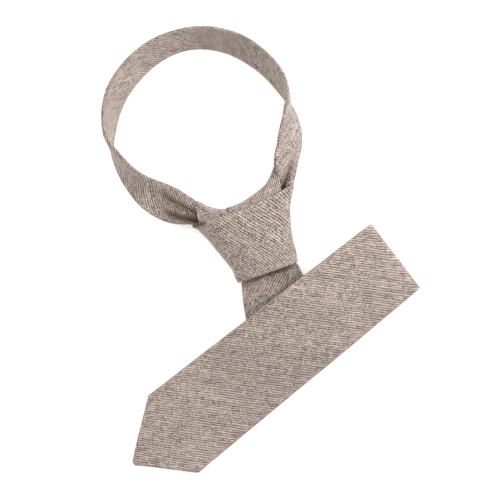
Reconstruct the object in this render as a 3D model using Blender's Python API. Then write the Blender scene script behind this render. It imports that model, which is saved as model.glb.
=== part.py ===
"""A skinny tie, tied in a wide knot and laid on a table with its blade folded to and fro.

Metres, +Z up, the table at z = 0. The neck loop stands on its lower edge and leans, the knot lies
on its back, and the blade comes out of the knot's foot, turns once on a hidden crease, runs out to a
soft fold and comes back over itself with its point free. The narrow tail lies under the blade.
The origin is under the middle of the whole tie.
"""

import math

import bmesh
import bpy
import numpy as np

# Cloth sizes
BLADE_WIDTH = 0.064         # across the shoulders of the blade's point
BLADE_TAPER = 0.0375        # width lost for each metre of length, away from the point
BLADE_THICKNESS = 0.0030    # two layers of cloth on a wool lining
POINT_LENGTH = 0.0345       # from the shoulders to the tip
TAIL_WIDTH = 0.034
TAIL_LENGTH = 0.072         # from the knot's foot to the tail's tip
TAIL_POINT = 0.017
TAIL_THICKNESS = 0.0026
BAND_WIDTH = 0.025
BAND_THICKNESS = 0.0032
KNOT_CLOTH = 0.0024         # wall of the wraps that make the knot
CLEARANCE = 0.0003

# Neck loop and knot
LOOP_RADIUS = 0.0605        # from the loop's middle to the knot's upper edge
KNOT_WIDTH = 0.0768         # ear to ear
KNOT_HEIGHT = 0.055
KNOT_DEPTH = 0.0215
KNOT_TURN = 24.8            # degrees that the knot leans from upright, anticlockwise
KNOT_SHIFT = 0.0042         # the foot's step to the right of the loop's middle

# Run of the blade from the knot's foot
DROP_HEADING = -71.4        # degrees, the way the blade leaves the knot
DROP_LENGTH = 0.0447        # foot to the hidden crease, on the blade's middle line
MIDDLE_HEADING = 38.8       # degrees, after the hidden crease
MIDDLE_LENGTH = 0.0922      # hidden crease to the outside of the soft fold
TOP_LENGTH = 0.2317         # outside of the soft fold to the tip
FOLD_RADIUS = 0.0031        # of the soft fold, to the middle of the cloth
FOLD_SETTLE = 0.024         # length over which the soft fold comes down on the layer below
DRAPE = 0.045               # length over which a layer comes down beside what is under it
FOOT_ARCH = 0.0068          # crown of the blade where the knot squeezes it
ARCH_LENGTH = 0.038
POINT_SKEW = 0.10           # slant of the shoulders' line, a rise over a run
POINT_SHIFT = -0.0013       # the tip's step off the blade's middle line
TIP_WIDTH = 1.05            # width left at a tip, in thicknesses
TIP_FULLNESS = 0.45         # share of the thickness that is left at a tip

EDGE_ANGLES = np.radians([22.5, 67.5])  # where a half-round edge is sampled
SECTION_POWER = 2.4         # squareness of the knot's section, 2 is an ellipse
KNOT_CURL = 0.0028          # how far the knot's sides turn in below their widest line
FLOOR_GAP = 0.0009          # from the table to the lowest edge of the wraps
FINE = 240                  # points on a curve before it is spaced out evenly
CORE_POINTS = 11            # points on each half of the core's sections

# Rows up the knot: share of its height, left and right sides as shares of half its width,
# and its depth as a share of KNOT_DEPTH
KNOT_ROWS = np.array([
    # height, left, right, depth
    (-0.03, -0.530, 0.570, 0.72),
    (0.05, -0.558, 0.603, 0.76),
    (0.12, -0.580, 0.624, 0.80),
    (0.25, -0.567, 0.650, 0.87),
    (0.40, -0.602, 0.714, 0.93),
    (0.55, -0.660, 0.797, 0.97),
    (0.72, -0.727, 0.915, 1.00),
    (0.88, -0.818, 1.070, 0.99),
    (0.97, -0.905, 1.120, 0.96),
    (1.25, -0.960, 1.180, 0.86),
])
WAIST = 0.37                # height of the widest line of the knot's sides, a share of its depth

# Upper edges of the two side wraps, as shares of half the knot's width and of its height
LEFT_WRAP = np.array([
    # run, edge across, edge up, hidden end across, hidden end up
    (0.00, -0.216, 0.980, -0.216, 0.80),
    (0.30, -0.372, 1.051, -0.380, 0.81),
    (0.60, -0.487, 1.118, -0.530, 0.83),
    (0.85, -0.563, 1.193, -0.640, 0.85),
    (1.00, -0.599, 1.218, -0.690, 0.86),
])
RIGHT_WRAP = np.array([
    (0.00, -0.190, 0.985, -0.190, 0.79),
    (0.25, 0.112, 0.980, 0.080, 0.78),
    (0.50, 0.453, 1.020, 0.380, 0.78),
    (0.70, 0.632, 1.070, 0.560, 0.78),
    (0.88, 0.785, 1.142, 0.700, 0.79),
    (1.00, 0.862, 1.198, 0.780, 0.80),
])
WRAP_BULGE = 0.0018         # how far a wrap's outer edge bows along the band
WRAP_ROLL = 0.0075          # radius of a wrap where it rolls over the knot's top

# The neck band round the loop, anticlockwise from the knot's right ear. Radius is a share of
# LOOP_RADIUS, width and lift and cup and pleat are shares of BAND_WIDTH
LOOP_ROWS = np.array([
    # degrees, radius, tilt, width, lift, cup, pleat
    (-20.0, 1.152, 131, 0.98, 0.00, 0.04, 0.00),
    (-12.0, 1.136, 128, 1.00, 0.00, 0.05, 0.00),
    (-4.0, 1.125, 125, 1.00, 0.00, 0.04, 0.00),
    (4.0, 1.120, 116, 1.00, 0.00, 0.02, 0.00),
    (11.0, 1.118, 103, 1.00, 0.00, 0.00, 0.00),
    (17.0, 1.117, 88, 1.00, 0.00, 0.00, 0.00),
    (24.0, 1.115, 74, 1.00, 0.00, 0.00, 0.00),
    (33.0, 1.103, 63, 1.00, 0.00, 0.00, 0.00),
    (45.0, 1.081, 55, 1.00, 0.00, 0.02, 0.00),
    (60.0, 1.050, 50, 1.00, 0.00, 0.03, 0.00),
    (75.0, 1.018, 51, 1.00, 0.00, 0.03, 0.00),
    (90.0, 0.995, 52, 1.00, 0.00, 0.03, 0.00),
    (105.0, 0.968, 50, 1.00, 0.00, 0.03, 0.00),
    (120.0, 0.945, 49, 1.00, 0.00, 0.03, 0.00),
    (135.0, 0.930, 49, 1.00, 0.00, 0.03, 0.00),
    (150.0, 0.929, 50, 1.00, 0.00, 0.03, 0.00),
    (160.0, 0.936, 53, 1.00, 0.00, 0.02, 0.00),
    (170.0, 0.941, 59, 1.00, 0.00, 0.01, 0.00),
    (180.0, 0.945, 68, 1.00, 0.00, 0.00, 0.00),
    (189.0, 0.945, 82, 1.00, 0.00, 0.00, 0.00),
    (198.0, 0.933, 99, 1.02, 0.00, 0.00, 0.00),
    (208.0, 0.920, 112, 1.04, 0.00, -0.03, 0.00),
    (218.0, 0.915, 123, 1.05, 0.00, -0.05, 0.00),
    (228.0, 0.913, 138, 1.06, 0.00, -0.07, 0.00),
    (238.0, 0.914, 156, 1.06, 0.00, -0.06, 0.00),
    (248.0, 0.926, 168, 1.04, 0.02, -0.03, 0.02),
    (257.0, 0.943, 173, 0.99, 0.09, 0.00, 0.04),
    (265.0, 0.968, 175, 0.88, 0.19, 0.03, 0.05),
])
# The band's ends inside the knot: across and up as shares of half the knot's width and its height
RIGHT_ARM = np.array([
    # across, up, tilt, width, height, cup, pleat
    (0.785, 0.795, 157, 0.32, 0.24, 0.00, 0.00),
    (0.935, 0.910, 154, 0.42, 0.26, 0.02, 0.00),
    (1.035, 1.020, 149, 0.56, 0.34, 0.04, 0.00),
])
LEFT_ARM = np.array([
    (-0.800, 1.072, 166, 0.54, 0.29, 0.04, 0.05),
    (-0.700, 1.035, 170, 0.46, 0.30, 0.04, 0.04),
    (-0.534, 0.951, 176, 0.42, 0.31, 0.02, 0.02),
    (-0.312, 0.855, 180, 0.40, 0.32, 0.00, 0.00),
    (-0.080, 0.822, 180, 0.40, 0.32, 0.00, 0.00),
    (0.040, 0.818, 180, 0.40, 0.32, 0.00, 0.00),
])
PLEATS = 1.5                # waves of the pleats across the band
BAND_STEPS = 72             # sections round the loop

# Narrowing of the blade where the knot squeezes it: run as a share of DROP_LENGTH, width share
SQUEEZE = np.array([
    (-0.30, 0.60),
    (-0.07, 0.63),
    (0.04, 0.785),
    (0.22, 0.870),
    (0.46, 0.935),
    (1.00, 1.000),
])
CORE_FOOT = 0.17            # share of the knot's height where the folded core starts
CORE_NARROWING = 0.55       # share of its width that the core loses in the knot's upper half
FRONT_REACH = 160           # degrees that the front turns from its middle line, down its sides
EAR_REACH = 90              # the same at its ears, which lie over the neck band
EAR_START = 0.55            # share up the front where the sides start to shorten
WRAP_UNDER = 70             # degrees that a side wrap turns in below its rim
TAIL_SQUEEZE = 0.62         # share of the tail's width that the knot leaves
TAIL_SPREAD = 0.0115        # length over which the tail widens again

# Edges of the knot's front across it, from share -1 to 1, as shares of KNOT_HEIGHT
FRONT_EDGES = {
    # edge: height in the middle, slope, bow
    "foot": (0.005, -0.045, 0.012),
    "top": (0.907, -0.033, 0.031),
}


def rotation(degrees):
    """Unit vector along a heading and the one to its left, in plan."""
    a = math.radians(degrees)
    return np.array([math.cos(a), math.sin(a)]), np.array([-math.sin(a), math.cos(a)])


def smooth(x):
    """Smooth step: 0 below 0, 1 above 1."""
    x = np.clip(x, 0.0, 1.0)
    return x * x * (3.0 - 2.0 * x)


def falling(distance, length):
    """1 up to distance 0, then down to 0 over the length."""
    return 1.0 - smooth(distance / length)


def unit(vectors):
    return vectors / np.linalg.norm(vectors, axis=-1, keepdims=True)


def spline(table, positions):
    """Catmull-Rom curve through the rows of a table, at row positions such as 3.4."""
    padded = np.vstack([2 * table[0] - table[1], table, 2 * table[-1] - table[-2]])
    start = np.clip(np.floor(positions).astype(int), 0, len(table) - 2)
    t = (positions - start)[:, None]
    a, b, c, d = (padded[start + i] for i in range(4))
    return 0.5 * (2 * b + (c - a) * t + (2 * a - 5 * b + 4 * c - d) * t**2 + (3 * b - a - 3 * c + d) * t**3)


def section(width, thickness, count):
    """Offsets across a strip with half-round edges, and the share of its half thickness at each."""
    edge = thickness / 2
    flat = np.asarray(width, dtype=float)[..., None] / 2 - edge
    side = edge * np.cos(EDGE_ANGLES)
    offsets = np.concatenate([-flat - side, flat * np.linspace(-1, 1, count), flat + side[::-1]], axis=-1)
    full = np.sin(EDGE_ANGLES)
    return offsets, np.concatenate([full, np.ones(count), full[::-1]])


def evenly(curves, thickness, count):
    """Points spaced along each curve as section() spaces a strip, by its length."""
    rows = []
    for curve in curves:
        run = np.concatenate([[0.0], np.cumsum(np.linalg.norm(np.diff(curve, axis=0), axis=1))])
        offsets, full = section(run[-1], thickness, count)
        at = offsets + run[-1] / 2
        rows.append(np.stack([np.interp(at, run, curve[:, k]) for k in range(3)], axis=-1))
    return np.array(rows), full


def grid_normals(grid):
    """Normals of a grid of points, from its rows and columns."""
    along = np.gradient(grid, axis=0)
    across = np.gradient(grid, axis=1)
    return unit(np.cross(along, across))


def loft(name, upper, lower):
    """Closed body through rings, each the upper row and back along the lower row."""
    rings = np.concatenate([upper, lower[:, ::-1]], axis=1)
    rows, around = rings.shape[:2]
    index = np.arange(rows * around).reshape(rows, around)
    here, there = index[:-1], index[1:]
    sides = np.stack([here, np.roll(here, -1, 1), np.roll(there, -1, 1), there], axis=-1).reshape(-1, 4)
    caps = []
    for ring in (index[0], index[-1]):
        top, low = ring[:around // 2], ring[around // 2:][::-1]
        caps.append(np.stack([top[:-1], top[1:], low[1:], low[:-1]], axis=-1))
    faces = np.concatenate([sides, *caps])
    mesh = bpy.data.meshes.new(name)
    mesh.from_pydata(rings.reshape(-1, 3).tolist(), [], faces.tolist())
    shape = bmesh.new()
    shape.from_mesh(mesh)
    bmesh.ops.recalc_face_normals(shape, faces=shape.faces)
    shape.to_mesh(mesh)
    shape.free()
    mesh.shade_smooth()
    piece = bpy.data.objects.new(name, mesh)
    TIE.objects.link(piece)
    return piece


def padded(name, middle, normals, thickness, full):
    """A cloth strip: its middle surface with half the thickness on each side, full at each point."""
    step = normals * (full * thickness / 2)[..., None]
    return loft(name, middle + step, middle - step)


def shell(name, outer, thickness, full, outward):
    """A cloth wall behind its outer surface, on the side away from the outward direction."""
    normals = grid_normals(outer)[2:-2, 2:-2] * outward
    normals = np.pad(normals, ((2, 2), (2, 2), (0, 0)), mode="edge")
    return padded(name, outer - normals * thickness / 2, normals, thickness, full)


def material(name, color, roughness):
    finish = bpy.data.materials.new(name)
    finish.use_nodes = True
    shader = finish.node_tree.nodes["Principled BSDF"]
    shader.inputs["Base Color"].default_value = (*color, 1.0)
    shader.inputs["Roughness"].default_value = roughness
    shader.inputs["Metallic"].default_value = 0.0
    return finish


# Places in plan, with the loop's middle at zero

KNOT_RIGHT, KNOT_UP = rotation(KNOT_TURN)
KNOT_FOOT = KNOT_RIGHT * KNOT_SHIFT - KNOT_UP * (LOOP_RADIUS + KNOT_HEIGHT)
HALF_KNOT = KNOT_WIDTH / 2
WAIST_HEIGHT = KNOT_DEPTH * WAIST
KNOT_CURVE = spline(KNOT_ROWS, np.linspace(0, len(KNOT_ROWS) - 1, FINE)).T


def on_knot(across, up, height):
    """World points from the knot's own axes: across and up from its foot, and height."""
    plan = KNOT_FOOT + across[..., None] * KNOT_RIGHT + up[..., None] * KNOT_UP
    return np.concatenate([plan, np.broadcast_to(height, across.shape)[..., None]], axis=-1)


def knot_sides(up):
    """Left and right sides and depth of the knot at a distance up from its foot."""
    share = up / KNOT_HEIGHT
    left, right, depth = (np.interp(share, KNOT_CURVE[0], KNOT_CURVE[k]) for k in (1, 2, 3))
    return left * HALF_KNOT, right * HALF_KNOT, depth * KNOT_DEPTH


def knot_top(across, up):
    """Height of the knot's upper side and its slope across the knot."""
    left, right, depth = knot_sides(up)
    half = (right - left) / 2
    share = np.clip((across - (left + right) / 2) / half, -0.97, 0.97)
    power = np.abs(share)**SECTION_POWER
    rise = (1.0 - power)**(1 / SECTION_POWER)
    slope = (depth - WAIST_HEIGHT) / half * (1.0 - power)**(1 / SECTION_POWER - 1) * power / np.abs(share)
    return WAIST_HEIGHT + (depth - WAIST_HEIGHT) * rise, slope


def knot_section(up, turn, inset, floor):
    """Across and height on the knot's section: turn 0 is the top, 90 degrees the widest line."""
    left, right, depth = knot_sides(up)
    half = (right - left) / 2 - inset
    side = np.sign(turn)
    upper = np.minimum(np.abs(turn), math.pi / 2)
    below = np.maximum(np.abs(turn) - math.pi / 2, 0.0)
    across = side * (half * np.sin(upper)**(2 / SECTION_POWER) - KNOT_CURL * (1 - np.cos(below)))
    rise = (depth - WAIST_HEIGHT - inset) * np.clip(np.cos(upper), 0, 1)**(2 / SECTION_POWER)
    height = WAIST_HEIGHT + rise - (WAIST_HEIGHT - floor) * np.sin(below)
    return (left + right) / 2 + across, height


def front_edges(share):
    """Lower and upper edge of the knot's front at a share across it, from -1 to 1."""
    foot, top = (a + b * share + c * share**2 for a, b, c in (FRONT_EDGES["foot"], FRONT_EDGES["top"]))
    return foot * KNOT_HEIGHT, top * KNOT_HEIGHT


def knot_front():
    """The last turn across the front of the knot, over its core and round both sides."""
    run, row_full = section(KNOT_HEIGHT, KNOT_CLOTH, 14)
    t = (run / KNOT_HEIGHT + 0.5)[:, None]
    reach = FRONT_REACH + (EAR_REACH - FRONT_REACH) * smooth((t - EAR_START) / (1 - EAR_START))
    turn = np.linspace(-1, 1, FINE) * np.radians(reach)
    share = np.sign(turn) * np.sin(np.minimum(np.abs(turn), math.pi / 2))**(2 / SECTION_POWER)
    foot, top = front_edges(share)
    up = foot + (top - foot) * t
    across, height = knot_section(up, turn, 0.0, FLOOR_GAP)
    outer, full = evenly(on_knot(across, up, height), KNOT_CLOTH, 23)
    return shell("knot_front", outer, KNOT_CLOTH, row_full[:, None] * full, -1)


def side_wrap(name, table):
    """The turn round one arm of the neck band: over the knot's top edge and under the front."""
    run, row_full = section(KNOT_WIDTH / 2, KNOT_CLOTH, 9)
    t = run / (KNOT_WIDTH / 2) + 0.5
    rows = spline(table, np.interp(t, table[:, 0], np.arange(len(table))))
    scale = np.array([HALF_KNOT, KNOT_HEIGHT])
    edge, hidden = rows[:, 1:3] * scale, rows[:, 3:5] * scale
    length = np.linalg.norm(hidden - edge, axis=1)[:, None]
    turn = np.radians(np.linspace(-WRAP_UNDER, 90, FINE // 2))
    rolled = np.where(turn < 0, KNOT_CURL, WRAP_ROLL) * (1 - np.cos(turn))
    flat = WRAP_ROLL + (length - WRAP_ROLL) * np.linspace(0, 1, FINE // 2)[1:]
    inward = np.concatenate([np.broadcast_to(rolled, (len(t), rolled.size)), flat], axis=1)
    share = inward / length
    bulge = WRAP_BULGE * 4 * share * (1 - share) * (t**3)[:, None] * np.sign(table[-1, 1])
    point = edge[:, None, :] + (hidden - edge)[:, None, :] * share[..., None]
    across, up = point[..., 0] + bulge, point[..., 1]
    cover, slope = knot_top(across, up)
    cover = cover - (KNOT_CLOTH + 2 * CLEARANCE) * np.sqrt(1 + slope**2) - WAIST_HEIGHT
    lift = np.concatenate([np.maximum(np.sin(turn), 0), np.ones(FINE // 2 - 1)])
    sink = np.concatenate([np.minimum(np.sin(turn), 0), np.zeros(FINE // 2 - 1)])
    height = WAIST_HEIGHT + cover * lift + (WAIST_HEIGHT - FLOOR_GAP) * sink
    outer, full = evenly(on_knot(across, up, height), KNOT_CLOTH, 12)
    return shell(name, outer, KNOT_CLOTH, row_full[:, None] * full, -np.sign(table[-1, 1]))


def knot_core():
    """The folded cloth inside the knot, flat where it lies on the table."""
    foot = CORE_FOOT * KNOT_HEIGHT
    band_end = LEFT_ARM[-1]
    top = band_end[1] * KNOT_HEIGHT - band_end[3] * BAND_WIDTH / 2 - 3 * CLEARANCE
    up = np.linspace(foot, top, 11)[:, None]
    turn = np.linspace(-1, 1, FINE) * math.radians(179)
    inset = KNOT_CLOTH + 2 * CLEARANCE
    across, height = knot_section(up, turn, inset, FLOOR_GAP)
    left, right, depth = knot_sides(up)
    middle = (left + right) / 2
    waist = KNOT_HEIGHT / 2
    across = middle + (across - middle) * (1.0 - CORE_NARROWING * smooth((up - waist) / (top - waist)))
    rows = []
    for curve in on_knot(across, np.broadcast_to(up, across.shape), height):
        run = np.concatenate([[0.0], np.cumsum(np.linalg.norm(np.diff(curve, axis=0), axis=1))])
        at = np.linspace(0, run[-1], 2 * CORE_POINTS)
        rows.append(np.stack([np.interp(at, run, curve[:, k]) for k in range(3)], axis=-1))
    rows = np.array(rows)
    rows[:, [0, -1], 2] = 0.0
    return loft("knot_core", rows[:, :CORE_POINTS], rows[:, :CORE_POINTS - 1:-1])


def band_centres():
    """Rows of x, y, tilt, width, height, cup and pleat for the neck band, in metres and degrees."""
    angle = np.radians(LOOP_ROWS[:, 0])
    radius = LOOP_ROWS[:, 1] * LOOP_RADIUS
    plan = np.stack([radius * np.cos(angle), radius * np.sin(angle)], axis=-1)
    tilt = LOOP_ROWS[:, 2]
    width = LOOP_ROWS[:, 3] * BAND_WIDTH
    stand = (width - BAND_THICKNESS) / 2 * np.sin(np.radians(tilt)) + BAND_THICKNESS / 2
    height = stand + LOOP_ROWS[:, 4] * BAND_WIDTH
    loop = np.column_stack([plan, tilt, width, height, LOOP_ROWS[:, 5:] * BAND_WIDTH])
    arms = []
    for table in (RIGHT_ARM, LEFT_ARM):
        place = on_knot(table[:, 0] * HALF_KNOT, table[:, 1] * KNOT_HEIGHT, 0.0)[:, :2]
        shares = table[:, 3:] * np.array([BAND_WIDTH, KNOT_DEPTH, BAND_WIDTH, BAND_WIDTH])
        arms.append(np.column_stack([place, table[:, 2], shares]))
    return np.vstack([arms[0], loop, arms[1]])


def neck_band():
    """The band round the neck: a strip that stands on one edge, leans and twists over twice."""
    table = band_centres()
    rows = spline(table, np.linspace(0, len(table) - 1, 20 * BAND_STEPS))
    run = np.concatenate([[0.0], np.cumsum(np.linalg.norm(np.diff(rows[:, :2], axis=0), axis=1))])
    at = np.linspace(0, run[-1], BAND_STEPS)
    rows = np.stack([np.interp(at, run, rows[:, k]) for k in range(rows.shape[1])], axis=-1)
    centre = rows[:, [0, 1, 4]]
    tangent = unit(np.gradient(centre, axis=0))
    outward = unit(np.cross(tangent, [0.0, 0.0, 1.0]))
    rising = np.cross(outward, tangent)
    tilt = np.radians(rows[:, 2])[:, None]
    across = outward * np.cos(tilt) + rising * np.sin(tilt)
    face = np.cross(tangent, across)
    width, cup, pleat = rows[:, 3], rows[:, 5:6], rows[:, 6:7]
    offsets, full = section(width, BAND_THICKNESS, 7)
    share = offsets / (width / 2)[:, None]
    bow = cup * (1 - share**2) + pleat * np.cos(2 * math.pi * PLEATS * (share + 1) / 2)
    middle = centre[:, None] + across[:, None] * offsets[..., None] + face[:, None] * bow[..., None]
    normals = grid_normals(middle)
    low = (middle - np.abs(normals) * (full * BAND_THICKNESS / 2)[..., None])[..., 2].min(axis=1)
    middle[..., 2] += np.maximum(-low, 0.0)[:, None]
    return padded("neck_band", middle, normals, BAND_THICKNESS, np.broadcast_to(full, offsets.shape))


# The blade: flat coordinates are u along it from the knot's foot and v across it, to the left of
# its heading when its front is up

DROP_ALONG, DROP_ACROSS = rotation(DROP_HEADING)
CREASE_HEADING = (DROP_HEADING + MIDDLE_HEADING) / 2
CREASE_ANGLE = math.radians(CREASE_HEADING - DROP_HEADING)
CREASE_OUT = -rotation(CREASE_HEADING)[1]
MIDDLE_ALONG = rotation(MIDDLE_HEADING)[0]
CREASE_RADIUS = (BLADE_THICKNESS + CLEARANCE) / 2
CREASE_TURN = math.pi * CREASE_RADIUS
CREASE_SHIFT = CREASE_TURN * math.sin(CREASE_ANGLE)
FOLD_START = DROP_LENGTH + MIDDLE_LENGTH + CREASE_SHIFT - FOLD_RADIUS - BLADE_THICKNESS / 2
FOLD_TURN = math.pi * FOLD_RADIUS
TIP = FOLD_START + FOLD_TURN + TOP_LENGTH - FOLD_RADIUS - BLADE_THICKNESS / 2
SHOULDER = TIP - POINT_LENGTH
BLADE_ROOT = -(CORE_FOOT * KNOT_HEIGHT - CLEARANCE) / math.cos(math.radians(DROP_HEADING + 90 - KNOT_TURN))
ROOT_SKEW = math.tan(math.radians(DROP_HEADING + 90 - KNOT_TURN))
CREASE_SKEW = 1 / math.tan(CREASE_ANGLE)


def blade_width(u):
    """Flat width of the blade, with its point."""
    body = BLADE_WIDTH - BLADE_TAPER * (SHOULDER - np.minimum(u, SHOULDER))
    point = np.clip((TIP - u) / POINT_LENGTH, 0, 1)
    narrow = BLADE_THICKNESS * TIP_WIDTH
    return np.where(u < SHOULDER, body, narrow + (BLADE_WIDTH - narrow) * point)


def squeeze(u):
    return np.interp(u / DROP_LENGTH, SQUEEZE[:, 0], SQUEEZE[:, 1])


def drop_place(plan):
    """Coordinates u and v of a plan point on the stretch below the knot."""
    away = plan - KNOT_FOOT
    return away @ DROP_ALONG, away @ DROP_ACROSS


def tail_cover(plan):
    """1 over the tail, falling to 0 beside and beyond it."""
    u, v = drop_place(plan)
    return falling(u - TAIL_LENGTH, DRAPE) * falling(np.abs(v) - TAIL_WIDTH / 2, DRAPE)


def past_crease(plan):
    """Distance beyond the outside of the hidden crease."""
    start = KNOT_FOOT + DROP_ALONG * DROP_LENGTH
    return (plan - start) @ CREASE_OUT - CREASE_RADIUS - BLADE_THICKNESS / 2


def drop_height(plan):
    """Middle of the cloth on the stretch below the knot: over the tail, arched near the knot."""
    u, v = drop_place(plan)
    half = blade_width(u) * squeeze(u) / 2
    arch = FOOT_ARCH * falling(u, ARCH_LENGTH) * (1 - np.clip(v / half, -1, 1)**2)**2
    return BLADE_THICKNESS / 2 + (TAIL_THICKNESS + CLEARANCE) * tail_cover(plan) + arch


def middle_height(plan):
    """Middle of the cloth between the two folds: over the drop, down to the table beside it."""
    u, v = drop_place(plan)
    beside = falling(np.abs(v) - blade_width(u) / 2, DRAPE)
    return drop_height(plan) + (BLADE_THICKNESS + CLEARANCE) * beside * falling(past_crease(plan), DRAPE)


def top_height(plan, from_fold):
    """Middle of the cloth on the top run: over the middle one, lifted where the soft fold turns."""
    over = (BLADE_THICKNESS + CLEARANCE) * falling(past_crease(plan), DRAPE)
    lift = 2 * FOLD_RADIUS - BLADE_THICKNESS - CLEARANCE
    return middle_height(plan) + over + lift * falling(from_fold, FOLD_SETTLE)


def blade_rows():
    """Middle line positions and slants of the blade's rows, from its root to its tip."""
    crease_end = DROP_LENGTH + CREASE_TURN / math.sin(CREASE_ANGLE)
    fold_end = FOLD_START + FOLD_TURN
    parts = [
        # from, to, rows, slant from, slant to
        (BLADE_ROOT, 0.0, 4, ROOT_SKEW, 0.0),
        (0.0, DROP_LENGTH, 8, 0.0, CREASE_SKEW),
        (DROP_LENGTH, crease_end, 7, CREASE_SKEW, CREASE_SKEW),
        (crease_end, FOLD_START, 14, CREASE_SKEW, 0.0),
        (FOLD_START, fold_end, 9, 0.0, 0.0),
        (fold_end, fold_end + FOLD_SETTLE, 5, 0.0, 0.0),
        (fold_end + FOLD_SETTLE, SHOULDER, 17, 0.0, POINT_SKEW),
        (SHOULDER, TIP, 5, POINT_SKEW, 0.0),
    ]
    places, skews = [np.array([BLADE_ROOT])], [np.array([ROOT_SKEW])]
    for start, end, count, first, last in parts:
        places.append(np.linspace(start, end, count + 1)[1:])
        skews.append(np.linspace(first, last, count + 1)[1:])
    return np.concatenate(places), np.concatenate(skews)


def front_blade():
    """The blade as one folded strip: drop, hidden crease, middle run, soft fold, top run, point."""
    line, skew = blade_rows()
    width = blade_width(line) * squeeze(line)
    v, full = section(width, BLADE_THICKNESS, 11)
    v = v + (POINT_SHIFT * smooth((line - SHOULDER) / POINT_LENGTH))[:, None]
    u = line[:, None] + skew[:, None] * v
    flat = KNOT_FOOT + u[..., None] * DROP_ALONG + v[..., None] * DROP_ACROSS

    crease_start = KNOT_FOOT + DROP_ALONG * DROP_LENGTH
    past = np.maximum((flat - crease_start) @ CREASE_OUT, 0.0)
    turn = np.minimum(past / CREASE_RADIUS, math.pi)
    back = past + np.maximum(past - CREASE_TURN, 0.0) - CREASE_RADIUS * np.sin(turn)
    middle = flat - CREASE_OUT * back[..., None]

    beyond = np.maximum(u - FOLD_START, 0.0)
    fold = np.minimum(beyond / FOLD_RADIUS, math.pi)
    back = beyond + np.maximum(beyond - FOLD_TURN, 0.0) - FOLD_RADIUS * np.sin(fold)
    plan = middle - MIDDLE_ALONG * back[..., None]

    low = drop_height(plan) + CREASE_RADIUS * (1 - np.cos(turn))
    mid = middle_height(plan) + FOLD_RADIUS * (1 - np.cos(fold))
    top = top_height(plan, beyond - FOLD_TURN)
    height = np.where(turn < math.pi, low, np.where(fold < math.pi, mid, top))

    out = CREASE_OUT * np.sin(turn)[..., None] * -1 + MIDDLE_ALONG * np.sin(fold)[..., None]
    up = np.cos(turn) * np.cos(fold)
    normals = np.concatenate([out, up[..., None]], axis=-1)
    points = np.concatenate([plan, height[..., None]], axis=-1)
    thin = np.where(line == TIP, TIP_FULLNESS, 1.0)[:, None]
    return padded("front_blade", points, normals, BLADE_THICKNESS, full * thin)


def tail_blade():
    """The narrow end, flat on the table under the blade, with its own small point."""
    edge = TAIL_THICKNESS / 2
    shoulder = TAIL_LENGTH - TAIL_POINT
    line = np.concatenate([np.linspace(BLADE_ROOT, shoulder, 8), np.linspace(shoulder, TAIL_LENGTH, 4)[1:]])
    skew = ROOT_SKEW * falling(line - BLADE_ROOT, -BLADE_ROOT)
    narrow = TAIL_THICKNESS * TIP_WIDTH
    point = np.clip((TAIL_LENGTH - line) / TAIL_POINT, 0, 1)
    width = narrow + (TAIL_WIDTH - narrow) * point * np.interp(line, [0.0, TAIL_SPREAD], [TAIL_SQUEEZE, 1.0])
    v, full = section(width, TAIL_THICKNESS, 7)
    u = line[:, None] + skew[:, None] * v
    plan = KNOT_FOOT + u[..., None] * DROP_ALONG + v[..., None] * DROP_ACROSS
    points = np.concatenate([plan, np.full(v.shape + (1,), edge)], axis=-1)
    normals = np.broadcast_to([0.0, 0.0, 1.0], points.shape)
    thin = np.where(line == TAIL_LENGTH, TIP_FULLNESS, 1.0)[:, None]
    return padded("tail_blade", points, normals, TAIL_THICKNESS, full * thin)


for old in list(bpy.data.objects):
    bpy.data.objects.remove(old, do_unlink=True)

TIE = bpy.data.collections.new("skinny_tie")
bpy.context.scene.collection.children.link(TIE)

pieces = {
    "front": (knot_front(), (0.40, 0.33, 0.29)),
    "left wrap": (side_wrap("knot_left_wrap", LEFT_WRAP), (0.46, 0.38, 0.34)),
    "right wrap": (side_wrap("knot_right_wrap", RIGHT_WRAP), (0.42, 0.35, 0.31)),
    "core": (knot_core(), (0.30, 0.24, 0.21)),
    "band": (neck_band(), (0.44, 0.37, 0.33)),
    "blade": (front_blade(), (0.41, 0.34, 0.30)),
    "tail": (tail_blade(), (0.36, 0.29, 0.26)),
}
for label, (piece, color) in pieces.items():
    piece.data.materials.append(material("melange cloth, " + label, color, 0.85))

corners = np.concatenate([np.array([v.co for v in piece.data.vertices]) for piece, color in pieces.values()])
middle = (corners.min(axis=0) + corners.max(axis=0)) / 2
for piece, color in pieces.values():
    piece.location = (-middle[0], -middle[1], -corners[:, 2].min())
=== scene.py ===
# %% [markdown]
# A skinny tie, laid on a table
#
# The real thing is one long strip of melange cloth, folded round a wool lining and tied in a wide
# knot. It lies with its neck loop open, its knot on its back and its blade folded to and fro. The
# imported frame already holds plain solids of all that, at their real size. This lesson dresses them:
# each solid gets a fine cloth surface in the same place, and one woven finish covers them all.

# %% Load the frame
import math

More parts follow.
